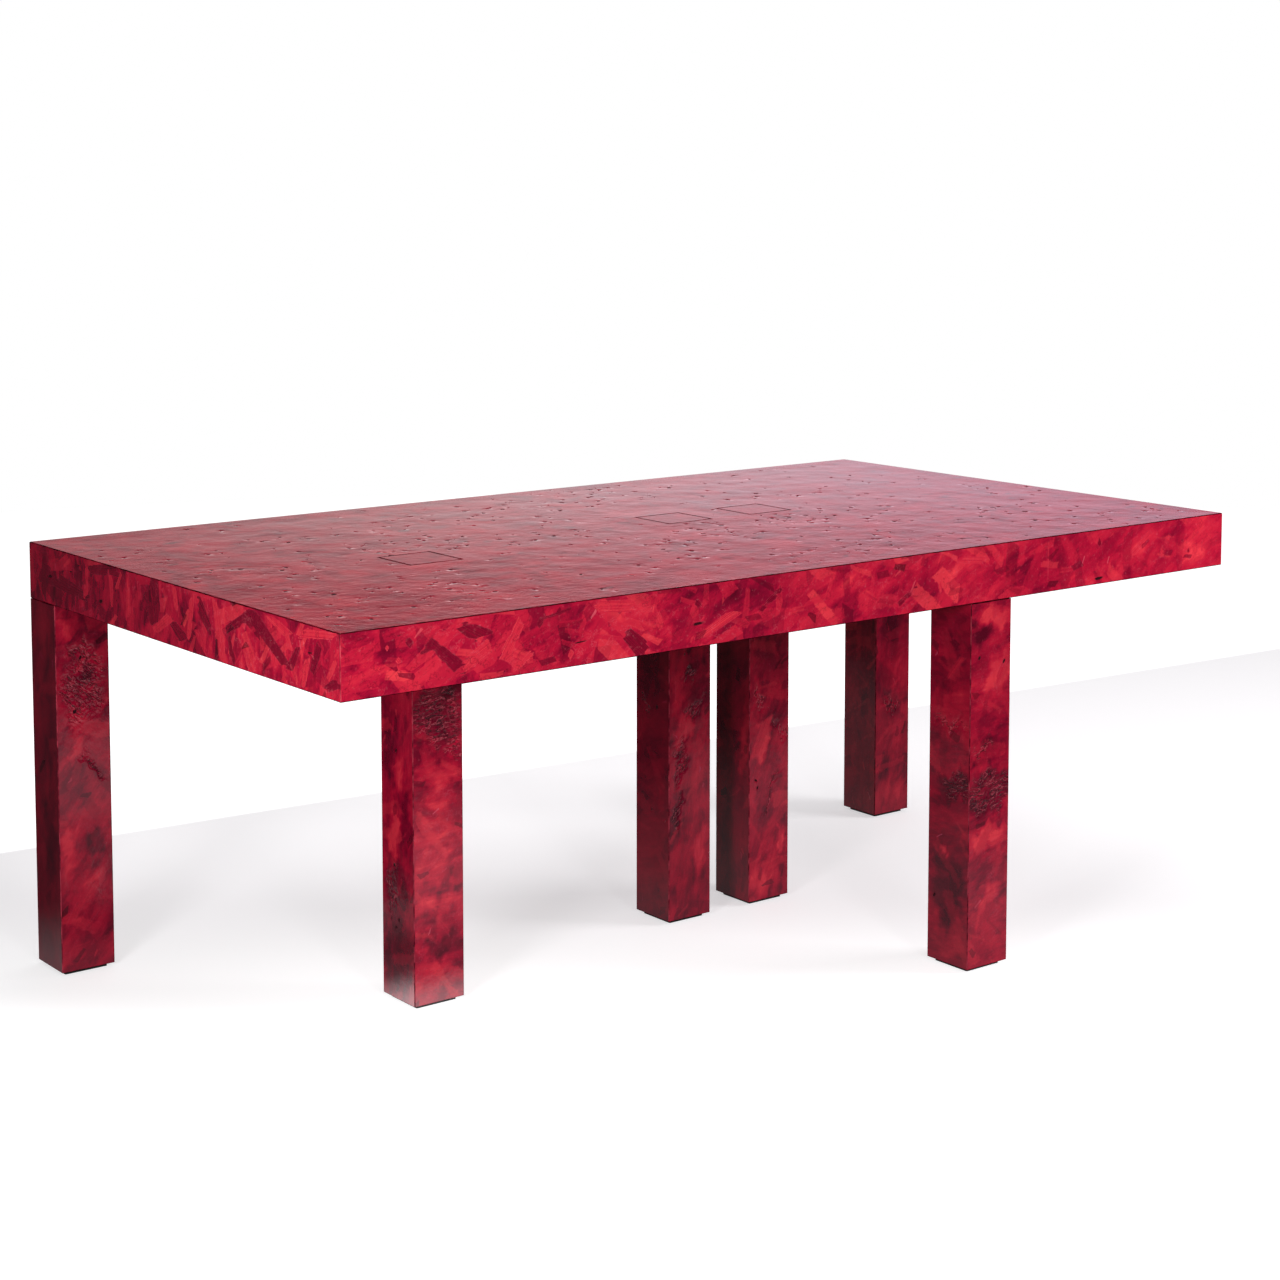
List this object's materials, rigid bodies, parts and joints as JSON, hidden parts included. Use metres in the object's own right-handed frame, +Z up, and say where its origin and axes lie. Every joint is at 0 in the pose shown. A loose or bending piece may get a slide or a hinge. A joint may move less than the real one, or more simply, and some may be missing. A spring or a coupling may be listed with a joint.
{
  "type": "dining table",
  "caption": "Rectangular dining table: a thick hollow slab of glossy red strand sheet on square hollow legs set out unevenly, some passing through to the top.",
  "frame": {"origin": "on the floor, under the middle of the slab's rectangle", "axes": "+X along the table to the right as seen from its front, +Y from front to back, +Z up"},
  "size_m": [1.94, 1.06, 0.76],
  "materials": {
    "lacquered_strand_sheet": "pressed strand sheet dyed mottled red, under high-gloss lacquer",
    "inner_timber": "plain sawn timber and plywood, hidden",
    "foot_pad": "matt black",
    "screw_steel": "zinc plated"
  },
  "bodies": {
    "root": {"back_panel": "lacquered_strand_sheet", "back_rib": "inner_timber", "bottom_panel": "lacquered_strand_sheet", "corner_leg_back": "lacquered_strand_sheet", "corner_leg_front": "lacquered_strand_sheet", "corner_leg_left": "lacquered_strand_sheet", "corner_leg_pad": "foot_pad", "corner_leg_post": "inner_timber", "corner_leg_right": "lacquered_strand_sheet", "corner_leg_socket": "inner_timber", "far_rib": "inner_timber", "front_leg_back": "lacquered_strand_sheet", "front_leg_front": "lacquered_strand_sheet", "front_leg_left": "lacquered_strand_sheet", "front_leg_pad": "foot_pad", "front_leg_post": "inner_timber", "front_leg_right": "lacquered_strand_sheet", "front_leg_socket": "inner_timber", "front_panel": "lacquered_strand_sheet", "front_rib": "inner_timber", "left_cross_rib": "inner_timber", "left_leg_back": "lacquered_strand_sheet", "left_leg_cap": "lacquered_strand_sheet", "left_leg_front": "lacquered_strand_sheet", "left_leg_left": "lacquered_strand_sheet", "left_leg_pad": "foot_pad", "left_leg_post": "inner_timber", "left_leg_right": "lacquered_strand_sheet", "left_leg_socket": "inner_timber", "left_panel": "lacquered_strand_sheet", "middle_leg_back": "lacquered_strand_sheet", "middle_leg_cap": "lacquered_strand_sheet", "middle_leg_front": "lacquered_strand_sheet", "middle_leg_left": "lacquered_strand_sheet", "middle_leg_pad": "foot_pad", "middle_leg_post": "inner_timber", "middle_leg_right": "lacquered_strand_sheet", "middle_leg_socket": "inner_timber", "near_rib": "inner_timber", "pad_screws": "screw_steel", "right_cross_rib": "inner_timber", "right_leg_back": "lacquered_strand_sheet", "right_leg_front": "lacquered_strand_sheet", "right_leg_left": "lacquered_strand_sheet", "right_leg_pad": "foot_pad", "right_leg_post": "inner_timber", "right_leg_right": "lacquered_strand_sheet", "right_leg_socket": "inner_timber", "right_panel": "lacquered_strand_sheet", "socket_screws": "screw_steel", "top_panel": "lacquered_strand_sheet", "twin_leg_back": "lacquered_strand_sheet", "twin_leg_cap": "lacquered_strand_sheet", "twin_leg_front": "lacquered_strand_sheet", "twin_leg_left": "lacquered_strand_sheet", "twin_leg_pad": "foot_pad", "twin_leg_post": "inner_timber", "twin_leg_right": "lacquered_strand_sheet", "twin_leg_socket": "inner_timber"}
  },
  "joints": []
}
